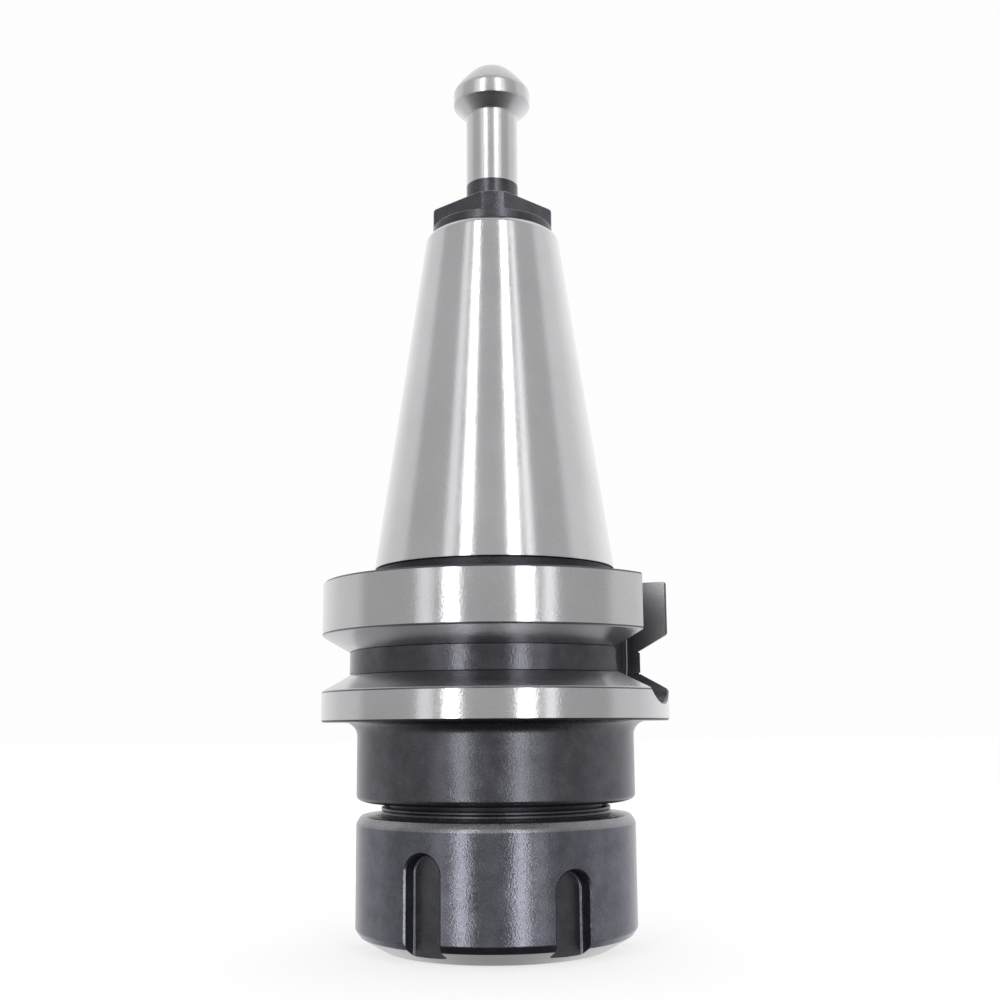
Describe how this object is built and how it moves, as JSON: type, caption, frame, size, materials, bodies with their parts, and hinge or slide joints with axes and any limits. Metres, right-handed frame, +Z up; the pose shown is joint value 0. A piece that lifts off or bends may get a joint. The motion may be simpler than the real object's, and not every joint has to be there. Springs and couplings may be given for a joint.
{
  "type": "collet chuck tool holder",
  "caption": "Steep-taper tool holder with gripper flange, drive slots and pull stud; a slotted nut clamps a slit spring collet in its nose.",
  "frame": {"origin": "centre of the nut's face, on the surface that the chuck stands on", "axes": "+Z up the turning axis from the nut to the pull stud, +X through one drive slot, +Y completing a right-handed frame"},
  "size_m": [0.063, 0.063, 0.1666],
  "materials": {
    "ground_and_blackened_steel": "ground bright on the taper and flange rims, satin black oxide elsewhere",
    "stud_steel": "ground bright neck and head, black oxide flange",
    "blackened_nut_steel": "satin black oxide",
    "collet_spring_steel": "fine ground"
  },
  "bodies": {
    "nut": {"clamping_nut": "blackened_nut_steel"},
    "collet": {"collet": "collet_spring_steel"},
    "holder": {"holder_body": "ground_and_blackened_steel", "pull_stud": "stud_steel"}
  },
  "joints": [
    {"name": "nut_turn", "type": "hinge", "parent": "nut", "child": "collet", "pos_m": [0, 0, 0], "axis": [0, 0, 1], "range_deg": [0, 2520]},
    {"name": "thread_travel", "type": "slide", "parent": "collet", "child": "holder", "axis": [0, 0, 1], "range_m": [0, 0.0105]}
  ],
  "couplings": [
    {"joint": "thread_travel", "follows": "nut_turn", "m_per_rad": 0.00023873}
  ]
}
